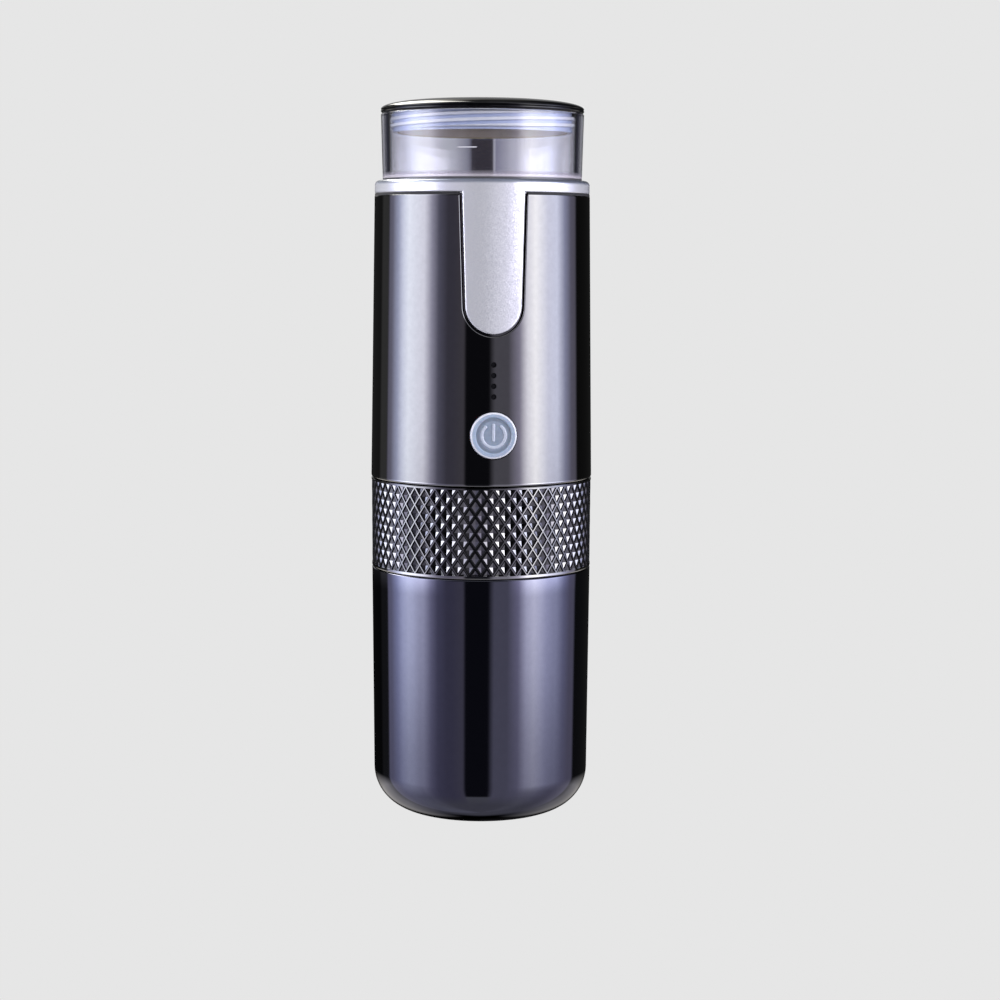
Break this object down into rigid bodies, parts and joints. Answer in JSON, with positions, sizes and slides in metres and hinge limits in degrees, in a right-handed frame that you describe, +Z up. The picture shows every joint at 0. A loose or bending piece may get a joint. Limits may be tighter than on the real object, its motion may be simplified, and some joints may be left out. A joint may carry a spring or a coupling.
{
  "type": "portable electric espresso maker",
  "caption": "Upright battery espresso maker: rounded cup, knurled brew head, glossy body with tongue, lamps and button, clear tank and screw lid.",
  "frame": {"origin": "middle of the foot's flat underside", "axes": "+Z up along the body's axis, the button and lamps look along -Y, +X to the right of a person who faces them"},
  "size_m": [0.076, 0.076, 0.245],
  "materials": {
    "gunmetal_lacquer": "glossy gunmetal metallic lacquer",
    "cup_lacquer": "glossy dark blue-grey metallic lacquer",
    "grip_lacquer": "glossy metallic, diamond knurled",
    "satin_silver": "satin silver metallic",
    "gloss_black": "glossy black",
    "clear_tank": "clear, glossy",
    "lid_plug": "pale translucent",
    "button_grey": "satin grey-blue",
    "smoked_window": "dark window",
    "inner_black": "matte black moulding",
    "liner": "light grey moulding",
    "rubber": "soft matte",
    "silicone": "milky silicone",
    "steel": "bright steel",
    "pump_plastic": "white engineering plastic",
    "gear_brass": "machined",
    "magnet": "dark ferrite",
    "rotor": "wound copper",
    "cell_sleeve": "shrink sleeve",
    "board": "solder mask"
  },
  "bodies": {
    "cup": {"cup_shell": "cup_lacquer", "cup_liner": "liner", "base_pad": "rubber"},
    "brew_head": {"knurled_grip": "grip_lacquer", "head_frame": "inner_black", "brew_chamber": "inner_black", "outlet_spout": "rubber", "cup_seal": "rubber"},
    "basket": {"coffee_basket": "inner_black", "basket_filter": "steel"},
    "group_gasket": {"group_gasket": "rubber"},
    "main_body": {"body_shell": "gunmetal_lacquer", "silver_collar": "satin_silver", "lower_socket": "inner_black", "shower_head": "inner_black", "shower_screen": "steel", "screen_screw": "steel", "outlet_seal": "rubber", "chassis": "inner_black", "chassis_screws": "steel", "pump_body": "pump_plastic", "pump_cover": "pump_plastic", "pump_screws": "steel", "shaft_seal": "rubber", "driven_pin": "steel", "motor_can": "steel", "motor_magnets": "magnet", "motor_endcap": "inner_black", "battery_holder": "inner_black", "battery_cells": "cell_sleeve", "cell_contacts": "steel", "main_board": "board", "board_leds": "satin_silver", "tact_switch": "inner_black", "led_lightguide": "smoked_window", "usb_board": "board", "usb_port": "steel", "inlet_tube": "silicone", "water_tank": "clear_tank", "tank_strainer": "steel", "tank_seal": "rubber"},
    "rotor": {"motor_shaft": "steel", "motor_rotor": "rotor", "drive_gear": "gear_brass"},
    "driven_gear": {"driven_gear": "gear_brass"},
    "button": {"power_button": "button_grey"},
    "lid_seal": {"lid_seal": "rubber"},
    "lid": {"lid_cap": "gloss_black", "lid_skirt": "lid_plug"}
  },
  "joints": [
    {"name": "head_lift", "type": "slide", "parent": "cup", "child": "brew_head", "axis": [0, 0, 1], "range_m": [0, 0.06]},
    {"name": "body_lift", "type": "slide", "parent": "brew_head", "child": "group_gasket", "axis": [0, 0, 1], "range_m": [0, 0.0722]},
    {"name": "body_turn", "type": "hinge", "parent": "group_gasket", "child": "main_body", "pos_m": [0, 0, 0.1205], "axis": [0, 0, 1], "range_deg": [0, 2160]},
    {"name": "basket_lift", "type": "slide", "parent": "brew_head", "child": "basket", "axis": [0, 0, 1], "range_m": [0, 0.0362]},
    {"name": "drive_spin", "type": "hinge", "parent": "main_body", "child": "rotor", "pos_m": [0, -0.00602, 0.1425], "axis": [0, 0, 1], "continuous": true},
    {"name": "driven_spin", "type": "hinge", "parent": "main_body", "child": "driven_gear", "pos_m": [0, 0.00602, 0.137], "axis": [0, 0, 1], "continuous": true},
    {"name": "button_press", "type": "slide", "parent": "main_body", "child": "button", "axis": [0, 1, 0], "range_m": [0, 0.0008], "stiffness_N_per_m": 2000, "springref_m": -0.0004},
    {"name": "lid_lift", "type": "slide", "parent": "main_body", "child": "lid_seal", "axis": [0, 0, 1], "range_m": [0, 0.0332]},
    {"name": "lid_turn", "type": "hinge", "parent": "lid_seal", "child": "lid", "pos_m": [0, 0, 0.2405], "axis": [0, 0, 1], "range_deg": [0, 1800]}
  ],
  "couplings": [
    {"joint": "body_lift", "follows": "body_turn", "m_per_rad": 0.0019099},
    {"joint": "basket_lift", "follows": "body_turn", "m_per_rad": 0.00095493},
    {"joint": "driven_spin", "follows": "drive_spin", "ratio": -1},
    {"joint": "lid_lift", "follows": "lid_turn", "m_per_rad": 0.0010504}
  ]
}
